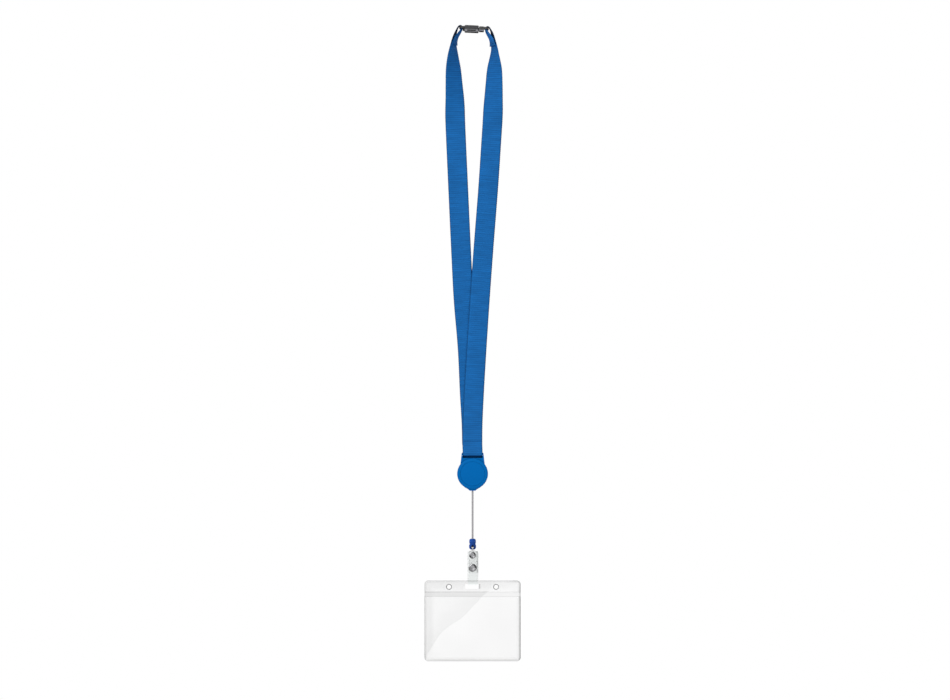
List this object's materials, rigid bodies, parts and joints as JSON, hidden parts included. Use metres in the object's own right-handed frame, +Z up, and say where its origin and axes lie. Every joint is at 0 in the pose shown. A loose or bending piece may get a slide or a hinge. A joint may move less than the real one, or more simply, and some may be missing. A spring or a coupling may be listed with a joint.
{
  "type": "lanyard badge holder",
  "caption": "Neck lanyard with a breakaway buckle, a retractable reel on a cord, a vinyl strap closed by a press stud and a clear landscape badge pocket",
  "frame": {"origin": "the middle of the buckle's underside, where the lanyard rests on the nape of the neck", "axes": "+Z up along the hanging lanyard, -Y is the front, +X to the right when seen from the front"},
  "size_m": [0.099, 0.024, 0.6557],
  "materials": {
    "webbing": "woven polyester, satin",
    "buckle": "moulded, satin",
    "reel_plastic": "moulded, satin gloss",
    "loop_plastic": "moulded, satin gloss",
    "metal": "plated",
    "cord": "braided nylon",
    "spool_plastic": "moulded",
    "clear_vinyl": "clear soft PVC"
  },
  "bodies": {
    "neck_strap": {"left_strap": "webbing", "right_strap": "webbing", "buckle_socket": "buckle"},
    "plug": {"buckle_plug": "buckle", "right_strap_end": "webbing"},
    "reel": {"reel_back_case": "reel_plastic", "reel_front_cover": "reel_plastic", "reel_face_disc": "reel_plastic", "reel_axle": "metal"},
    "reel_spool": {"spool": "spool_plastic", "spiral_spring": "metal", "cord_winding": "cord"},
    "reel_cord": {"cord": "cord"},
    "cord_end": {"cord_end_loop": "loop_plastic", "cord_knot": "cord"},
    "hanging_strap": {"vinyl_strap": "clear_vinyl", "rivet_cap": "metal", "rivet_washer": "metal", "snap_stud": "metal", "snap_post": "metal"},
    "strap_tail": {"vinyl_tail": "clear_vinyl", "snap_cap": "metal", "snap_socket": "metal"},
    "badge": {"badge_back_sheet": "clear_vinyl", "badge_header_strip": "clear_vinyl", "badge_pocket_sheet": "clear_vinyl"}
  },
  "joints": [
    {"name": "buckle_release", "type": "slide", "parent": "neck_strap", "child": "plug", "axis": [0.999, 0, -0.0436], "range_m": [0, 0.014]},
    {"name": "reel_swing", "type": "hinge", "parent": "neck_strap", "child": "reel", "pos_m": [0, 0, -0.4344], "axis": [1, 0, 0], "range_deg": [-60, 60]},
    {"name": "spool_turn", "type": "hinge", "parent": "reel", "child": "reel_spool", "pos_m": [0, 0, -0.455], "axis": [0, 1, 0], "continuous": true},
    {"name": "cord_pull", "type": "slide", "parent": "reel", "child": "reel_cord", "axis": [0, 0, -1], "range_m": [-0.048, 0.55], "stiffness_N_per_m": 0.6, "springref_m": -0.25, "deforming": ["cord"]},
    {"name": "cord_twist", "type": "hinge", "parent": "reel_cord", "child": "cord_end", "pos_m": [0, 0, -0.5246], "axis": [0, 0, 1], "range_deg": [-180, 180]},
    {"name": "strap_swing", "type": "hinge", "parent": "cord_end", "child": "hanging_strap", "pos_m": [0, 0, -0.53245], "axis": [1, 0, 0], "range_deg": [-80, 80]},
    {"name": "snap_open", "type": "hinge", "parent": "hanging_strap", "child": "strap_tail", "pos_m": [0, 0, -0.5699], "axis": [1, 0, 0], "range_deg": [0, 110]},
    {"name": "badge_swing", "type": "hinge", "parent": "hanging_strap", "child": "badge", "pos_m": [0, 0, -0.5685], "axis": [1, 0, 0], "range_deg": [-42, 42]}
  ],
  "couplings": [
    {"joint": "spool_turn", "follows": "cord_pull", "rad_per_m": 105}
  ]
}
